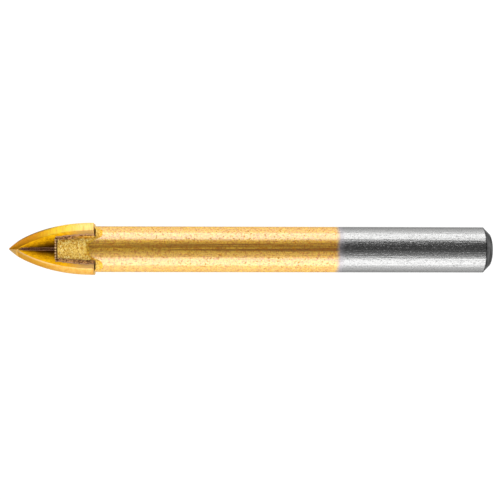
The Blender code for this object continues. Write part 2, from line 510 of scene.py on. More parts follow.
# Painted highlight along the side plates' cutting edges
KEEN_PAINTED_HIGHLIGHT = (1.0, 0.76, 0.36, 1)
KEEN_OLIVE = (0.17, 0.11, 0.04, 1)
BLADE_LAND_SIDE = (0.66, 0.33, 0.03, 1)
BLADE_LAND_SIDE_REAR = (0.74, 0.42, 0.08, 1)
BLADE_LAND = (0.74, 0.48, 0.012, 1)
BLADE_LAND_ORANGE = (0.66, 0.27, 0.006, 1)
BLADE_LAND_PALE = (0.86, 0.54, 0.13, 1)
# Painted shade in the blades' corners; also the braze's dark streaks
CORNER_SHADE_AND_STREAK_BROWN = (0.075, 0.020, 0.003, 1)
# Painted shade in the corner fillets' hollows, and painted highlights along their toes
VALLEY_PAINTED_SHADE = (0.045, 0.014, 0.003, 1)
BRAZE_DARK = (0.12, 0.05, 0.022, 1)
BRAZE_BROWN = (0.70, 0.38, 0.14, 1)
BRAZE_PINK = (0.58, 0.35, 0.20, 1)
FILLET_TOE_PAINTED_HIGHLIGHT = (0.90, 0.46, 0.24, 1)
BRAZE_BEAD = (0.72, 0.48, 0.22, 1)
FLOOR_PAPER_DEEP = (0.88, 0.88, 0.88, 1)
FLOOR_PAPER = (0.9, 0.9, 0.9, 1)
WHITE = (1, 1, 1, 1)


def bar_colour(tree, marks):
    """The bar's colour: gold with painted reflection lines along its top, blasted gold with painted glints,
    painted shade at and behind the prongs, ground and turned steel at the rear.
    """
    fine = marks["fine"]
    lumps = marks["lumps"]
    pits = marks["pits"]
    painted_lines = stretched_grain(tree, marks["where"], REFLECTION_LINE_GRAIN)
    rings = stretched_grain(tree, marks["where"], TURNED_RINGS)
    gold = blend(tree, (marks["mottle"] * 0.3 + fine * 0.7).share(0.42, 0.54), GOLD_DEEP, GOLD)
    gold = blend(tree, pits * 0.45, gold, GOLD_PIT)
    # Painted reflection: dark lines that darken the middle of the bar's dark band
    gold = blend(tree, painted_lines.share(0.42, 0.54) * zone(tree, "painted_reflection_lines") * 0.8, gold, GOLD_PAINTED_REFLECTION)
    blasted_gold = blend(tree, (lumps * 0.5 + fine * 0.5).share(0.40, 0.56), GOLD_BLASTED_DEEP, GOLD_BLASTED)
    blasted_gold = blend(tree, fine.share(0.56, 0.64), blasted_gold, GOLD_GLINT)
    gold = blend(tree, marks["blasted"], gold, blasted_gold)
    # Painted shade: the bar darkened to brown at the prongs' fronts and in a patch behind each
    gold = blend(tree, marks["painted_shade"], gold, PAINTED_SHADE_BROWN)
    steel = blend(tree, marks["streaks"].share(0.5, 0.75), STEEL, STEEL_DULL)
    steel = blend(tree, marks["tint"], steel, STEEL_TINT)
    steel = blend(tree, pits * 0.35, steel, STEEL_PIT)
    turned_steel = blend(tree, rings.share(0.35, 0.65), TURNED_STEEL_DARK, TURNED_STEEL)
    turned = marks["turned"]
    steel = blend(tree, turned, steel, turned_steel)
    edge_line = turned * (turned * -1 + 1) * 4.0
    edge_breaks = grain(tree, marks["where"], CHAMFER_EDGE_GRAIN).share(0.35, 0.5, 0.6, 1.0)
    steel = blend(tree, edge_line * edge_breaks, steel, EDGE_DARK)
    return blend(tree, marks["bare"], gold, steel)


def bar_relief(tree, marks):
    """Fine grain, lengthwise marks and the blasting's lumps, shallower on the bare steel."""
    bare = marks["bare"]
    lines = stretched_grain(tree, marks["where"], BAR_LINES)
    skin_grain = marks["fine"] * 0.5 + marks["mottle"] * 0.15 - marks["pits"] * 0.3
    relief = skin_grain * bare.share(0.0, 1.0, 1.0, 0.35) + marks["streaks"] * 0.2
    relief = relief + lines * between(tree, bare, 0.6, 0.3)
    return relief + marks["lumps"] * marks["blasted"] * 3.0


def coated_bar_material():
    """Gold nitride over ground steel, blasted round the head, with bare steel and a chamfer at the rear."""
    material, tree, shader, where = new_material("nitride_coated_steel")
    lumps = grain(tree, where, BAR_LUMPS, 3.0, 0.7)
    coat_edge = grain(tree, where, COAT_EDGE_GRAIN, 3.0)
    marks = {
        "where": where,
        "fine": grain(tree, where, BAR_FINE, 3.0, 0.7),
        "mottle": grain(tree, where, BAR_MOTTLE, 3.0, 0.6),
        "lumps": lumps,
        "pits": grain(tree, where, BAR_PITS, 2.0, 0.6).share(0.57, 0.66),
        "streaks": stretched_grain(tree, where, BAR_STREAKS, 3.0, 0.7),
        "blasted": zone(tree, "blasted"),
        "painted_shade": (zone(tree, "painted_shade") * lumps.share(0.35, 0.6, 1.6, 0.7)).least(1.0),
        "bare": (zone(tree, "bare") + (coat_edge - 0.5) * 0.25).share(0.08, 0.92),
        "tint": zone(tree, "tint"),
        "turned": zone(tree, "turned"),
    }
    blasted = marks["blasted"]
    bare = marks["bare"]
    feed(tree, shader.inputs["Base Color"], bar_colour(tree, marks))
    feed(tree, shader.inputs["Metallic"], between(tree, bare, between(tree, blasted, 1.0, 0.3), 1.0))

    speck = marks["fine"] * 0.6 + marks["streaks"] * 0.4
    facing = Field(tree, add_node(tree, "ShaderNodeLayerWeight", {"Blend": 0.5}).outputs["Facing"])
    gold_gloss = between(tree, facing.share(0.7, 0.92), speck.share(0.42, 0.60, 0.52, 0.78), 0.24)
    gold_gloss = between(tree, blasted, gold_gloss, 0.5)
    steel_gloss = between(tree, marks["tint"], marks["streaks"].share(0.46, 0.66, 0.20, 0.36), 0.45)
    steel_gloss = between(tree, marks["turned"], steel_gloss, 0.12)
    feed(tree, shader.inputs["Roughness"], between(tree, bare, gold_gloss, steel_gloss))

    coat = facing.share(0.5, 0.8, 0.6, 0.3) * (marks["painted_shade"] * -1 + 1)
    coat = between(tree, blasted.share(0.0, 0.1), coat, 0.0) * (marks["pits"] * -0.9 + 1)
    feed(tree, shader.inputs["Coat Weight"], between(tree, bare, coat, 0.0))
    shader.inputs["Coat Roughness"].default_value = 0.22
    shader.inputs["Coat IOR"].default_value = 3.4
    shader.inputs["Specular Tint"].default_value = EDGE_TINT
    bump(tree, shader, bar_relief(tree, marks), BAR_RELIEF)
    return material


def blade_face_colour(tree, mottle, fine, depth):
    """The plates' sides: gold, paler at the rear, dull at the tip and darkened by painted shade in the corners
    of the cross.
    """
    rear = zone(tree, "up")
    face = blend(tree, (mottle * 0.7 + fine * 0.3).share(0.38, 0.62), BLADE_FACE_DEEP, BLADE_FACE)
    face = blend(tree, rear.share(*FACE_REAR), face, BLADE_FACE_REAR)
    face = blend(tree, rear.share(*FACE_TIP, 1.0, 0.0), face, BLADE_TIP)
    return blend(tree, depth, CORNER_SHADE_AND_STREAK_BROWN, face)


def blade_land_colour(tree, mottle, marks):
    """The ground lands: orange in front, paler behind, with worn marks, a dark line along the main plate's edge
    and a painted highlight along the side plates' edges.
    """
    rear = zone(tree, "up")
    wide = zone(tree, "wide")
    keen = zone(tree, "keen")
    narrow = wide * -1 + 1
    front_end = (rear + (mottle - 0.5) * LAND_FRONT_WANDER).share(*LAND_FRONT)
    rear_start = (rear + (mottle - 0.5) * LAND_REAR_WANDER).share(*LAND_REAR)
    main_land = blend(tree, front_end, BLADE_LAND_ORANGE, BLADE_LAND)
    main_land = blend(tree, rear_start, main_land, BLADE_LAND_PALE)
    side_land = blend(tree, rear.share(*SIDE_LAND_REAR), BLADE_LAND_SIDE, BLADE_LAND_SIDE_REAR)
    land = blend(tree, wide, side_land, main_land)
    worn = marks.share(0.50, 0.64).most(mottle.share(0.52, 0.62) * narrow)
    land = blend(tree, worn * 0.55, land, BLADE_LAND_ORANGE)
    olive_edge = (keen * rear.share(*OLIVE_EDGE_END, 1.0, 0.0)).least(wide)
    land = blend(tree, olive_edge, land, KEEN_OLIVE)
    # Painted highlight: a pale line along the side plates' cutting edges
    edge_highlight = keen * narrow * rear.share(*EDGE_HIGHLIGHT_END, 0.75, 0.25)
    return blend(tree, edge_highlight, land, KEEN_PAINTED_HIGHLIGHT)


def ground_carbide_material():
    """The same coat over carbide: painted shade in the corners of the cross, ground paler over the lands."""
    material, tree, shader, where = new_material("coated_carbide")
    marks = stretched_grain(tree, where, BLADE_MARKS, 3.0)
    mottle = grain(tree, where, BLADE_MOTTLE, 3.0, 0.6)
    fine = grain(tree, where, BLADE_FINE, 2.0, 0.6)
    land = zone(tree, "land").share(0.4, 0.9)
    rear = zone(tree, "up")
    # Painted shade: the faces darken towards the corner of the cross and at the tip
    out_of_corner = zone(tree, "out") + (mottle - 0.5) * CORNER_SHADE_WANDER
    shade_width = rear.share(*CORNER_SHADE_LENGTH, *CORNER_SHADE_WIDTH)
    at_tip = rear.share(*CORNER_SHADE_FRONT, 1.0, 0.0)
    depth = out_of_corner.share(0.0, shade_width).most(at_tip)
    face_colour = blade_face_colour(tree, mottle, fine, depth)
    land_colour = blade_land_colour(tree, mottle, marks)
    feed(tree, shader.inputs["Base Color"], blend(tree, land, face_colour, land_colour))
    feed(tree, shader.inputs["Metallic"], between(tree, depth, 1.0, 0.85))
    feed(tree, shader.inputs["Roughness"], mottle.share(0.2, 0.8, 0.4, 0.52))
    coat = land * rear.share(*GLOSSY_LAND, 0.05, 0.5) * (zone(tree, "wide") * 0.5 + 0.5)
    feed(tree, shader.inputs["Coat Weight"], coat)
    shader.inputs["Coat Roughness"].default_value = 0.25
    shader.inputs["Coat IOR"].default_value = 1.8
    shader.inputs["Specular Tint"].default_value = EDGE_TINT
    bump(tree, shader, marks * 0.6 + mottle * 0.8 + fine * 0.4, BLADE_RELIEF)
    return material


def braze_material():
    """Braze that the heat has turned purple-brown, rough and streaked, with lighter edges, and in the corner
    fillets painted shade in the hollow and painted highlights along the toes.
    """
    material, tree, shader, where = new_material("braze")
    lumps = grain(tree, where, BRAZE_LUMPS, 4.0, 0.7)
    streaks = stretched_grain(tree, where, BRAZE_STREAKS)
    rim = zone(tree, "rim")
    valley = zone(tree, "valley")
    colour = blend(tree, lumps.share(0.40, 0.60), BRAZE_DARK, BRAZE_BROWN)
    colour = blend(tree, streaks.share(0.52, 0.66), colour, CORNER_SHADE_AND_STREAK_BROWN)
    colour = blend(tree, (rim + (lumps - 0.5) * 0.4).share(0.72, 0.95), colour, BRAZE_PINK)
    coated = zone(tree, "coated") * (rim + (lumps - 0.5) * 0.5).share(0.35, 0.6, 1.0, 0.0)
    gold = blend(tree, lumps.share(0.40, 0.60), GOLD_BLASTED_DEEP, GOLD_BLASTED)
    colour = blend(tree, coated, colour, gold)
    # Painted shade in the corner fillet's hollow and painted highlights along its toes
    valley_painted_light = blend(tree, rim.share(0.80, 0.92), VALLEY_PAINTED_SHADE, FILLET_TOE_PAINTED_HIGHLIGHT)
    colour = blend(tree, valley, colour, valley_painted_light)
    feed(tree, shader.inputs["Base Color"], colour)
    feed(tree, shader.inputs["Metallic"], valley.share(0.0, 1.0, 0.75, 0.0))
    feed(tree, shader.inputs["Roughness"], lumps.share(0.3, 0.7, 0.45, 0.7))
    shader.inputs["Specular IOR Level"].default_value = 0.15
    bump(tree, shader, lumps + streaks * 0.5, BRAZE_RELIEF)
    return material


def bead_material():
    """The small bright lumps where the braze has run out round a prong's front."""
    material, tree, shader, where = new_material("braze_beads")
    lumps = grain(tree, where, BEAD_GRAIN, 2.0, 0.6)
    feed(tree, shader.inputs["Base Color"], blend(tree, lumps.share(0.3, 0.5), BRAZE_BROWN, BRAZE_BEAD))
    shader.inputs["Metallic"].default_value = 0.5
    feed(tree, shader.inputs["Roughness"], lumps.share(0.3, 0.7, 0.3, 0.5))
    bump(tree, shader, lumps, BEAD_RELIEF)
    return material


# The bar


def side_share(angle, middle_half, side_half):
    """How far a place lies from the middle of its prong towards the blades, from 0 to 1."""
    from_middle = abs((math.degrees(angle) % 90) - 45)
    return smooth_step(math.degrees(middle_half), math.degrees(side_half), from_middle)


def blast_share(angle, height):
    """How blasted the bar is: fully beside the blades, and ending in a hollow curve behind the head."""
    side = side_share(angle, BLAST_MIDDLE_HALF, BLAST_SIDE_HALF)
    end = BLAST_END_MIDDLE + (BLAST_END_SIDE - BLAST_END_MIDDLE) * side
    return 1 - smooth_step(end - BLAST_FADE, end + BLAST_FADE, height)


def shade_share(angle, height):
    """How much painted shade the bar has: a patch behind each prong, where the blasting ends."""
    side = side_share(angle, SHADE_MIDDLE_HALF, SHADE_SIDE_HALF)
    return (1 - side) * (1 - smooth_step(BLAST_END_MIDDLE, SHADE_END, height))


def laid_outward(angle):
    """The way out of the bar at an angle round it, once the bit is laid."""
    return BIT.to_3x3() @ Vector((math.cos(angle), math.sin(angle), 0))


def painted_reflection_share(angle):
    """How far a place lies in the strip along the laid bar's top where dark lines are painted as reflections.
    """
    outward = laid_outward(angle)
    from_middle = math.degrees(abs(math.atan2(outward.y, outward.z) - REFLECTION_LINES_MIDDLE))
    full = math.degrees(REFLECTION_LINES_HALF) * REFLECTION_LINES_FULL_SHARE
    return 1 - smooth_step(full, math.degrees(REFLECTION_LINES_HALF), from_middle)


def finish_zones(angle, height):
    """The finish, painted shade and painted reflection lines at one place on the bar, as each zone's share
    there from 0 to 1.
    """
    blasted = blast_share(angle, height)
    shade = SHADE_SHARE * shade_share(angle, height) * (1 - blasted)
    masked_end = COAT_END + COAT_SLANT * smooth_step(*COAT_SLANT_SIDES, laid_outward(angle).y)
    painted_reflection_lines = REFLECTION_LINES_FRONT_SHARE + (1 - REFLECTION_LINES_FRONT_SHARE) * smooth_step(*REFLECTION_LINES_FRONT, height)
    turned_start = CHAMFER_START - END_EDGE_RING_GAP
    turned_end = CHAMFER_START + END_EDGE_RING_GAP
    return {
        "blasted": blasted,
        # Painted shade at the prongs' fronts, and the painted shade patch behind them
        "painted_shade": max(1 - smooth_step(PRONG_FRONT, PAINTED_SHADE_FRONT_END, height), shade),
        "bare": min(max(0.5 + (height - masked_end) / (2 * COAT_FADE), 0), 1),
        "tint": 1 - smooth_step(masked_end, masked_end + TINT_LENGTH, height),
        "painted_reflection_lines": painted_reflection_share(angle) * painted_reflection_lines,
        "turned": min(max((height - turned_start) / (turned_end - turned_start), 0), 1),
    }


def bar_angles(radius):
    """Angles round the bar at a radius, over each prong's arc and then the slot's mouth beside it."""
    mouth = math.asin(HALF_SLOT / radius)
    quarter = math.radians(90)
    angles = []
    for turn in range(4):
        for step in range(PRONG_ARC_STEPS + 1):
            angles.append(quarter * turn + mouth + (quarter - 2 * mouth) * step / PRONG_ARC_STEPS)
        for step in range(1, MOUTH_STEPS):
            angles.append(quarter * (turn + 1) - mouth + 2 * mouth * step / MOUTH_STEPS)
    return angles


def stepped(start, end, gap):
    """Even heights from start to end, no further apart than gap."""
    count = math.ceil((end - start) / gap)
    return [start + (end - start) * step / count for step in range(count + 1)]


def blasted_radius(radius, angle, height):
    """The bar's radius with the small dents of the blasting, which only go inwards."""
    where = Vector((radius * math.cos(angle), radius * math.sin(angle), height)) * DENT_SCALE
    dent = noise.fractal(where, 0.6, 2.0, 2) * 0.5 + 0.5
    return radius - BLAST_DEPTH * blast_share(angle, height) * min(max(dent, 0), 1)


def skin(bm, near, far, closed):
    """Faces between two rows of vertices. near lies in front of far, and both run anticlockwise."""
    count = len(near) if closed else len(near) - 1
    for i in range(count):
        j = (i + 1) % len(near)
        bm.faces.new((near[i], near[j], far[j], far[i]))


def bar_mesh(material):
    """The bar with its cross slot: four prongs, each joined to the slot's floor, and the round bar behind."""
    bm = bmesh.new()
    zones = {}

    def vert(radius, angle, height):
        for name, share in finish_zones(angle, height).items():
            zones.setdefault(name, []).append(share)
        return bm.verts.new((radius * math.cos(angle), radius * math.sin(angle), height))

    def skin_vert(radius, angle, height):
        return vert(blasted_radius(radius, angle, height), angle, height)

    corner_radius = HALF_SLOT * math.sqrt(2)
    corner_angles = [math.radians(45 + 90 * turn) for turn in range(4)]
    floor_ring = [skin_vert(SHANK_RADIUS, angle, SLOT_FLOOR) for angle in bar_angles(SHANK_RADIUS)]
    corners = [vert(corner_radius, angle, SLOT_FLOOR) for angle in corner_angles]

    # Prongs, from the slot's floor to their fronts
    front_rim = PRONG_FRONT + PRONG_CHAMFER
    heights = stepped(front_rim, SLOT_FLOOR, PRONG_RING_GAP)[-2::-1]
    sections = [(height, prong_radius(height)) for height in heights]
    sections.append((PRONG_FRONT, prong_radius(front_rim) - PRONG_CHAMFER))
    floor_outline = []
    for turn in range(4):
        first = (PRONG_ARC_STEPS + MOUTH_STEPS) * turn
        last = first + PRONG_ARC_STEPS
        next_first = (first + PRONG_ARC_STEPS + MOUTH_STEPS) % len(floor_ring)
        arc = floor_ring[first : last + 1]
        corner = corners[turn]
        floor_outline += [corner, *floor_ring[last : last + MOUTH_STEPS], floor_ring[next_first]]
        for height, radius in sections:
            row = [skin_vert(radius, angle, height) for angle in bar_angles(radius)[first : last + 1]]
            next_corner = vert(corner_radius, corner_angles[turn], height)
            skin(bm, row, arc, False)
            bm.faces.new((row[0], arc[0], corner, next_corner))
            bm.faces.new((arc[-1], row[-1], next_corner, corner))
            arc, corner = row, next_corner
        bm.faces.new([corner, *reversed(arc)])
    bm.faces.new(list(reversed(floor_outline)))

    # The round bar behind the slot, with its crowned and chamfered end
    near = floor_ring
    for radius, height in round_bar_profile():
        far = [skin_vert(radius, angle, height) for angle in bar_angles(SHANK_RADIUS)]
        skin(bm, near, far, True)
        near = far
    centre = vert(0, 0, OVERALL_LENGTH)
    for i, point in enumerate(near):
        bm.faces.new((point, near[(i + 1) % len(near)], centre))
    mesh = bpy.data.meshes.new("shank_body")
    bm.to_mesh(mesh)
    bm.free()
    mesh.materials.append(material)
    for name, shares in zones.items():
        paint(mesh, name, shares)
    return mesh


def round_bar_profile():
    """Radius and height from the slot's floor to the end face, in finer steps where the finish changes."""
    heights = stepped(SLOT_FLOOR, SLOT_FLOOR + NECK_LENGTH, PRONG_RING_GAP)
    for end, gap in (
        (COAT_END - 3 * COAT_FADE, SHANK_RING_GAP),
        (COAT_END + COAT_SLANT + 3 * COAT_FADE, COAT_RING_GAP),
        (CHAMFER_START - END_EDGE_RINGS * END_EDGE_RING_GAP, SHANK_RING_GAP),
        (CHAMFER_START, END_EDGE_RING_GAP),
    ):
        heights += stepped(heights[-1], end, gap)[1:]
    return [(SHANK_RADIUS, height) for height in heights[1:]] + end_profile()


def end_profile():
    """Radius and height over the rear chamfer, the crown and the flat end face."""
    crown_height = OVERALL_LENGTH - END_CROWN_DEPTH
    profile = []
    for step in range(1, CHAMFER_STEPS + 1):
        share = (step / CHAMFER_STEPS) ** 2
        radius = SHANK_RADIUS + (END_CROWN_RADIUS - SHANK_RADIUS) * share
        profile.append((radius, CHAMFER_START + (crown_height - CHAMFER_START) * share))
    for step in range(1, CROWN_STEPS + 1):
        share = step / CROWN_STEPS
        radius = END_CROWN_RADIUS + (END_FACE_RADIUS - END_CROWN_RADIUS) * share
        profile.append((radius, OVERALL_LENGTH - END_CROWN_DEPTH * (1 - share) ** 2))
    for step in range(1, CROWN_STEPS):
        profile.append((END_FACE_RADIUS * (1 - step / CROWN_STEPS), OVERALL_LENGTH))
    return profile


def paint(mesh, name, values):
    attribute = mesh.attributes.new(name, "FLOAT", "POINT")
    attribute.data.foreach_set("value", values)


# The ground blades

BLADE_SIZES = {
    "Head Radius": HEAD_RADIUS,
    "Ogive Arc": OGIVE_ARC,
    "Ogive Tangent": OGIVE_TANGENT,
    "Front": POINT_INSET,
    "Head Length": HEAD_LENGTH,
    "Rear Chamfer": REAR_CHAMFER,
    "Half Plate": HALF_PLATE,
    "Thinning": POINT_THINNING,
    "Relief": LAND_RELIEF,
    "Inner": 0.0,
    "Front Edge": SIDE_BLADE_FRONT_EDGE,
    "Two Lands": 1.0,
    "Edge Round": BLADE_EDGE_ROUND,
    "Mark Depth": MARK_DEPTH,
    "Mark Scale": MARK_SCALE,
    "Seed": 0.0,
}
BLADE_COUNTS = {
    "Steps Across": BLADE_STEPS_ACROSS,
    "Steps Along": BLADE_STEPS_ALONG,
    "Steps Up": BLADE_STEPS_UP,
}


def ground_blade_tree():
    """A plate ground to the ogive, as a fine block bent into shape: its two sides flat, its lands relieved
    and its edges slightly rounded. Two Lands is 1 for the plate that runs right across the head and 0 for a
    half plate, which starts at Inner."""
    sockets = {label: "Float" for label in BLADE_SIZES}
    sockets.update({label: "Int" for label in BLADE_COUNTS})
    sockets["Material"] = "Material"
    tree, size = new_geometry_tree("ground_blade", sockets)
    counts = {
        "Vertices X": size["Steps Across"] + 1,
        "Vertices Y": size["Steps Along"] + 1,
        "Vertices Z": size["Steps Up"] + 1,
    }
    block = add_node(tree, "GeometryNodeMeshCube", counts)
    block.inputs["Size"].default_value = (1, 1, 1)
    x, y, z = separate(tree, add_node(tree, "GeometryNodeInputPosition").outputs[0])
    two_lands = size["Two Lands"]

    # How many steps a point lies from the plate's side, and from its land
    steps_in = (x.size() * -1 + 0.5) * size["Steps Across"]
    steps_in_most = size["Steps Across"] / 2
    y_folded = y + (y.size() - y) * two_lands
    steps_down = (y_folded * -1 + 0.5) * size["Steps Along"]
    steps_down_most = size["Steps Along"] / (two_lands + 1)
    end = two_lands * -1 + 1 + y.sign() * two_lands

    # Heights run up to the rear chamfer, and the last few over it
    height_share = z + 0.5
    body_length = size["Head Length"] - size["Rear Chamfer"] - size["Front"]
    height = size["Front"] + body_length * (height_share / CHAMFER_SHARE).least(1.0)
    over_chamfer = (height_share - CHAMFER_SHARE).most(0.0) / (1 - CHAMFER_SHARE)
    height = height + size["Rear Chamfer"] * over_chamfer
    ahead = (size["Ogive Tangent"] - height).most(0.0)
    radius = (size["Ogive Arc"].squared() - ahead.squared()).root() + size["Head Radius"] - size["Ogive Arc"]
    radius = radius - size["Rear Chamfer"] * over_chamfer
    half = size["Half Plate"].least(radius * size["Thinning"].sine())

    # The rounding of the four long edges
    near_side = steps_in.least(float(ROUND_STEPS)) / ROUND_STEPS
    near_land = steps_down.least(float(ROUND_STEPS)) / ROUND_STEPS
    lift_side = (near_land * -1 + 1) / 2
    lift_land = (near_side * -1 + 1) / 2
    right_angle = math.radians(90)
    side_turn = (near_side * (lift_side * -1 + 1) + lift_side) * right_angle
    land_turn = (near_land * (lift_land * -1 + 1) + lift_land) * right_angle
    rounding = size["Edge Round"].least(half * 0.3)
    flat_share = ((steps_in_most - steps_in) / (steps_in_most - ROUND_STEPS)).least(1.0)
    across = x.sign() * ((half - rounding) * flat_share + rounding * side_turn.cosine())

    # The land, relieved behind its cutting edge
    relief = (across * end + half) * size["Relief"].math("TANGENT")
    land = (radius.squared() - across.squared()).root() - relief
    land = land.most(size["Inner"] + size["Front Edge"])
    rounding = rounding.least((land - size["Inner"]) * 0.3)
    down_share = ((steps_down_most - steps_down) / (steps_down_most - ROUND_STEPS)).least(1.0)
    reach = size["Inner"] + (land - size["Inner"] - rounding) * down_share + rounding * land_turn.cosine()
    along = end * reach

    # Finish zones: the lands, and each place's distance out from the plates' corner and back from the point
    on_land = steps_down.share(0.5, ROUND_STEPS + 0.5, 1.0, 0.0, smooth=False)
    painted = store(tree, block.outputs["Mesh"], "land", on_land)
    painted = store(tree, painted, "wide", two_lands)
    keen = (x * end).share(*KEEN_SHARE, 1.0, 0.0, smooth=False) * on_land
    painted = store(tree, painted, "keen", keen)
    painted = store(tree, painted, "out", reach - size["Half Plate"])
    painted = store(tree, painted, "up", height)

    # Grinding marks across the plate, as fine waves in its faces
    bent = add_node(tree, "GeometryNodeSetPosition", {"Geometry": painted})
    tree.links.new(combine(tree, along, across, height), bent.inputs["Position"])
    turned_out = add_node(tree, "GeometryNodeFlipFaces", {"Mesh": bent.outputs[0]})
    place_x, place_y, place_z = separate(tree, add_node(tree, "GeometryNodeInputPosition").outputs[0])
    mark_place = combine(
        tree,
        place_x * size["Mark Scale"] * MARK_ACROSS_SHARE + size["Seed"],
        place_y * size["Mark Scale"] * MARK_ACROSS_SHARE,
        place_z * size["Mark Scale"],
    )
    mark = (grain(tree, mark_place, 1.0, 2.0) - 0.5) * size["Mark Depth"]
    normal = add_node(tree, "GeometryNodeInputNormal").outputs[0]
    offset = add_node(tree, "ShaderNodeVectorMath", operation="SCALE")
    tree.links.new(normal, offset.inputs[0])
    feed(tree, offset.inputs["Scale"], mark)
    marked = add_node(tree, "GeometryNodeSetPosition", {"Geometry": turned_out.outputs[0]})
    tree.links.new(offset.outputs[0], marked.inputs["Offset"])
    end_geometry_tree(tree, marked.outputs[0], size["Material"])
    return tree


def blade_values(material, two_lands, inner, front, seed):
    plate = {"Two Lands": two_lands, "Inner": inner, "Front": front, "Seed": seed, "Material": material}
    return {**BLADE_SIZES, **BLADE_COUNTS, **plate}


def make_blades(material):
    tree = ground_blade_tree()
    base = bpy.data.objects.new("main_blade_blank", bpy.data.meshes.new("blank"))
    mesh = grow(tree, base, blade_values(material, 1.0, 0.0, POINT_INSET, 0.0))
    place("main_blade_ground", mesh, ["main_blade"], sharp_angle=SHARP_ANGLE)
    inner = HALF_PLATE + PLATE_SEAM
    front = ogive_height(math.hypot(inner + SIDE_BLADE_FRONT_EDGE, HALF_PLATE))
    for number, quarters in ((1, 1), (2, 3)):
        base = bpy.data.objects.new("side_blade_blank", bpy.data.meshes.new("blank"))
        mesh = grow(tree, base, blade_values(material, 0.0, inner, front, float(number)))
        name = f"side_blade_{number}"
        place(f"{name}_ground", mesh, [name], quarters, sharp_angle=SHARP_ANGLE)


# The braze


def braze_outline(edge, top, film):
    """The braze in one corner of the cross: hollow fillets up both plates, and the film beside the prong."""
    near = HALF_PLATE + BRAZE_GAP
    outer = near + film
    hollow = (edge + (top - edge) * HOLLOW_ALONG, near + film * HOLLOW_DEPTH)
    leg = []
    for step in range(FILLET_STEPS + 1):
        share = step / FILLET_STEPS
        keep = (1 - share) ** 2
        middle = 2 * share * (1 - share)
        last = share**2
        across = keep * top + middle * hollow[0] + last * edge
        along = keep * near + middle * hollow[1] + last * outer
        leg.append((across, along))
    inner = []
    for step in range(1, FILLET_STEPS):
        inner.append((edge + (outer - edge) * (step / FILLET_STEPS), outer))
    points = [(near, near)] + leg + inner + [(outer, outer)]
    return points + [(across, along) for along, across in reversed(leg + inner)]


def corner_outline(leg):
    """The narrow fillet in the corner of the cross, before the prongs."""
    throat = leg * FILLET_THROAT
    return braze_outline(HALF_PLATE + BRAZE_GAP + throat / HOLLOW_DEPTH / 2, HALF_PLATE + leg, throat)


def braze_sections(turn):
    """Height, the prong's edge and the outline, from where a corner fillet starts to the slot's floor."""
    film = SLOT_CLEARANCE - 2 * BRAZE_GAP
    fillet_start = ogive_height(math.sqrt(2) * (HALF_PLATE + CORNER_FILLET))
    bead_front = PRONG_FRONT - BRAZE_FRONT_BEAD
    sections = []
    for height in stepped(fillet_start, bead_front - BRAZE_BEAD_RAMP, BRAZE_RING_GAP):
        leg = CORNER_FILLET * min(0.5 + (height - fillet_start) / CORNER_FILLET / 2, 1)
        sections.append((height, HALF_PLATE + BRAZE_GAP, corner_outline(leg)))
    for height in stepped(bead_front, HEAD_LENGTH, BRAZE_RING_GAP):
        edge = math.sqrt(prong_radius(height) ** 2 - HALF_SLOT**2)
        wander = noise.noise(Vector((height * CLIMB_WANDER_SCALE, turn, 0)))
        top = edge + (BRAZE_CLIMB_SHARE + CLIMB_WANDER * wander) * (heel(height) - edge)
        sections.append((height, edge, braze_outline(edge, top, film)))
    sections.append((SLOT_FLOOR - BRAZE_GAP, edge, braze_outline(edge, edge + film, film)))
    return sections


def braze_mesh(material, turn):
    """One seam: the corner fillet, the bead before the prong and the slot's filling, all a little lumpy."""
    open_from = HALF_PLATE + 2 * BRAZE_GAP
    bm = bmesh.new()
    rings = []
    zones = {"rim": [], "valley": [], "coated": []}
    for height, edge, outline in braze_sections(turn):
        in_valley = height < PRONG_FRONT - BRAZE_FRONT_BEAD
        top = max(x for x, _ in outline)
        ring = []
        for x, y in outline:
            zones["rim"].append(max((max(x, y) - edge) / (top - edge), 0))
            zones["valley"].append(float(in_valley))
            zones["coated"].append(float(x > y) * smooth_step(*BRAZE_COATED, height))
            spot = Vector((x, y, height + turn * SEAM_SHIFT)) * BRAZE_SWELL_SCALE
            swell = BRAZE_SWELL * noise.fractal(spot, 0.7, 2.0, 3)
            away = Vector((x, y)).normalized()
            if min(x, y) <= open_from and not in_valley:
                swell = 0
            ring.append(bm.verts.new((x + away.x * swell, y + away.y * swell, height)))
        rings.append(ring)
    for near, far in zip(rings, rings[1:]):
        skin(bm, near, far, True)
    bm.faces.new(rings[0][::-1])
    bm.faces.new(rings[-1])
    bmesh.ops.recalc_face_normals(bm, faces=bm.faces)
    mesh = bpy.data.meshes.new("braze")
    bm.to_mesh(mesh)
    bm.free()
    mesh.materials.append(material)
    for name, shares in zones.items():
        paint(mesh, name, shares)
    return mesh


def make_braze(material):
    for turn in range(4):
        name = f"braze_seam_{turn + 1}"
        place(f"{name}_run", braze_mesh(material, turn), [name], turn, sharp_angle=SHARP_ANGLE)


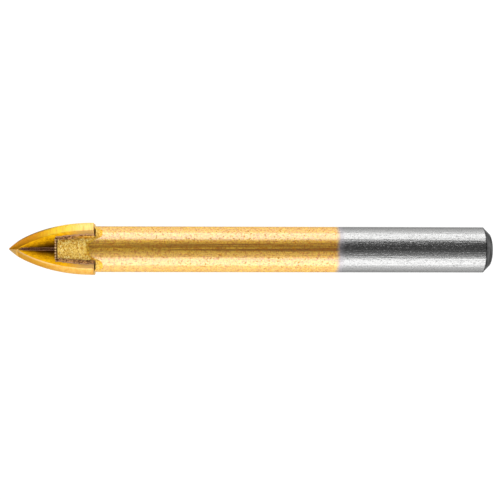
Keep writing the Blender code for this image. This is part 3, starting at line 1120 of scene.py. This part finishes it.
def bead_tree():
    """Small round lumps along a path, each a little different."""
    sockets = {"Geometry": "Geometry", "Gap": "Float", "Lump": "Float", "Seed": "Int", "Material": "Material"}
    tree, size = new_geometry_tree("braze_beads", sockets)
    points = add_node(tree, "GeometryNodeCurveToPoints", {"Curve": size["Geometry"]}, mode="LENGTH")
    feed(tree, points.inputs["Length"], size["Gap"])
    lump = add_node(tree, "GeometryNodeMeshIcoSphere", {"Radius": size["Lump"]})
    lump.inputs["Subdivisions"].default_value = 3
    shares = add_node(tree, "FunctionNodeRandomValue", {"Seed": size["Seed"]}, data_type="FLOAT_VECTOR")
    shares.inputs[0].default_value = (BEAD_SMALLEST,) * 3
    shares.inputs[1].default_value = (BEAD_LARGEST,) * 3
    lumps = add_node(tree, "GeometryNodeInstanceOnPoints")
    tree.links.new(points.outputs["Points"], lumps.inputs["Points"])
    tree.links.new(lump.outputs["Mesh"], lumps.inputs["Instance"])
    tree.links.new(shares.outputs[0], lumps.inputs["Scale"])
    end_geometry_tree(tree, lumps.outputs[0], size["Material"])
    return tree


def bead_path():
    """The line where a prong's front meets the plates: along one plate, round the front and back."""
    radius = prong_radius(PRONG_FRONT) - BEAD_INSET
    mouth = math.asin((HALF_PLATE + BEAD_OFF_PLATE) / radius)
    front = PRONG_FRONT - BEAD_AHEAD
    leg = []
    for height in stepped(front, front + BEAD_LEG, BEAD_LEG_GAP)[::-1]:
        leg.append((radius * math.cos(mouth), radius * math.sin(mouth), height))
    arc = []
    for step in range(1, BEAD_ARC_STEPS):
        angle = mouth + (math.radians(90) - 2 * mouth) * step / BEAD_ARC_STEPS
        arc.append((radius * math.cos(angle), radius * math.sin(angle), front))
    points = leg + arc + [(y, x, z) for x, y, z in reversed(leg)]
    curve = bpy.data.curves.new("bead_path", "CURVE")
    curve.dimensions = "3D"
    spline = curve.splines.new("POLY")
    spline.points.add(len(points) - 1)
    for spline_point, point in zip(spline.points, points):
        spline_point.co = (*point, 1)
    return bpy.data.objects.new("bead_path", curve)


def make_beads(material):
    tree = bead_tree()
    for turn in range(4):
        values = {"Gap": BEAD_GAP, "Lump": BEAD_RADIUS, "Seed": turn, "Material": material}
        mesh = grow(tree, bead_path(), values)
        place(f"braze_beads_{turn + 1}", mesh, quarters=turn)


# The studio


def make_floor():
    """A pale floor that takes the bit's shadow, and looks nearly white to the camera and in reflections."""
    bm = bmesh.new()
    bmesh.ops.create_grid(bm, x_segments=8, y_segments=8, size=FLOOR_HALF)
    bmesh.ops.translate(bm, verts=bm.verts, vec=(0, 0, -FLOOR_DROP))
    mesh = bpy.data.meshes.new("floor")
    bm.to_mesh(mesh)
    bm.free()
    floor = bpy.data.objects.new("floor", mesh)
    bpy.context.collection.objects.link(floor)
    material, tree, shader, where = new_material("white_floor")
    paper = grain(tree, where, FLOOR_GRAIN)
    feed(tree, shader.inputs["Base Color"], blend(tree, paper, FLOOR_PAPER_DEEP, FLOOR_PAPER))
    shader.inputs["Roughness"].default_value = 0.35
    shader.inputs["Specular IOR Level"].default_value = 0.4
    path = add_node(tree, "ShaderNodeLightPath")
    seen = Field(tree, path.outputs["Is Camera Ray"]) + Field(tree, path.outputs["Is Glossy Ray"])
    seen = (seen + Field(tree, path.outputs["Is Transmission Ray"])).least(1.0)
    white = add_node(tree, "ShaderNodeEmission", {"Color": WHITE, "Strength": FLOOR_WHITE})
    mixed = add_node(tree, "ShaderNodeMixShader", {0: seen * FLOOR_WHITE_SHARE})
    tree.links.new(shader.outputs[0], mixed.inputs[1])
    tree.links.new(white.outputs[0], mixed.inputs[2])
    tree.links.new(mixed.outputs[0], tree.nodes["Material Output"].inputs["Surface"])
    mesh.materials.append(material)


def add_soft_box(name, side, low, high, radiance):
    """A long soft box beside the bit. low and high are its edges' heights above the floor, as angles."""
    bottom = Vector((0, side * BOX_DISTANCE * math.cos(low), BOX_DISTANCE * math.sin(low)))
    top = Vector((0, side * BOX_DISTANCE * math.cos(high), BOX_DISTANCE * math.sin(high)))
    lamp = bpy.data.lights.new(name, "AREA")
    lamp.shape = "RECTANGLE"
    lamp.size = BOX_LENGTH
    lamp.size_y = (top - bottom).length
    lamp.energy = radiance * math.pi * lamp.size * lamp.size_y
    box = bpy.data.objects.new(name, lamp)
    bpy.context.collection.objects.link(box)
    back = ((bottom + top) / 2).normalized()
    right = Vector((1, 0, 0))
    up = back.cross(right)
    axes = Matrix((right, up, back)).transposed().to_4x4()
    box.matrix_world = Matrix.Translation((bottom + top) / 2) @ axes
    box.visible_camera = False


def make_lamps():
    """Two soft boxes for the reflections, and a light from above that only matt surfaces show."""
    add_soft_box("soft_box_back", 1, BOX_FOOT, BOX_BACK_TOP, BOX_BACK_LIGHT)
    add_soft_box("soft_box_front", -1, BOX_FOOT, BOX_FRONT_TOP, BOX_FRONT_LIGHT)
    sun = bpy.data.lights.new("top_light", "SUN")
    sun.energy = TOP_LIGHT
    sun.angle = TOP_LIGHT_SPREAD
    top_light = bpy.data.objects.new("top_light", sun)
    bpy.context.collection.objects.link(top_light)
    top_light.location = (0, 0, TOP_LIGHT_HEIGHT)
    top_light.visible_glossy = False


def make_world():
    """A pale horizon that darkens towards the bit's ends, and a dim ceiling, lightest on the front side."""
    world = bpy.data.worlds.new("studio")
    bpy.context.scene.world = world
    world.use_nodes = True
    tree = world.node_tree
    background = tree.nodes["Background"]
    direction = add_node(tree, "ShaderNodeTexCoord").outputs["Generated"]
    along, behind, up = separate(tree, direction)
    lean = behind.math("ARCTAN2", up)
    ceiling = lean.share(CEILING_FRONT, CEILING_DARKEST, CEILING_FRONT_LIGHT, CEILING_LIGHT)
    ceiling = ceiling + lean.share(CEILING_DARKEST, CEILING_BACK, 0.0, CEILING_LIGHT)
    horizon = along.size().share(*HORIZON_ENDS, HORIZON_LIGHT, HORIZON_END_LIGHT)
    level = between(tree, up.share(*HORIZON_TOP), horizon, ceiling)
    feed(tree, background.inputs["Color"], combine(tree, level, level, level))


def make_camera():
    scene = bpy.context.scene
    lens = bpy.data.cameras.new("camera")
    lens.sensor_width = CAMERA_SENSOR
    lens.lens = CAMERA_LENS
    lens.clip_start = CAMERA_NEAREST
    lens.clip_end = CAMERA_FURTHEST
    camera = bpy.data.objects.new("camera", lens)
    scene.collection.objects.link(camera)
    back = Vector(
        (
            -math.sin(CAMERA_TILT) * math.cos(CAMERA_LEAN),
            math.sin(CAMERA_LEAN),
            math.cos(CAMERA_TILT) * math.cos(CAMERA_LEAN),
        )
    )
    right = Vector((0, 1, 0)).cross(back).normalized()
    up = back.cross(right)
    axes = Matrix((right, up, back)).transposed().to_4x4()
    roll = Matrix.Rotation(CAMERA_ROLL, 4, "Z")
    camera.matrix_world = Matrix.Translation(CAMERA_AIM + back * CAMERA_DISTANCE) @ axes @ roll
    scene.camera = camera


def main():
    scene = bpy.context.scene
    scene.view_settings.view_transform = "Standard"
    bar = bar_mesh(coated_bar_material())
    place("shank_body_finished", bar, ["shank_body"], sharp_angle=SHARP_ANGLE)
    make_blades(ground_carbide_material())
    make_braze(braze_material())
    make_beads(bead_material())
    make_floor()
    make_lamps()
    make_world()
    make_camera()


main()
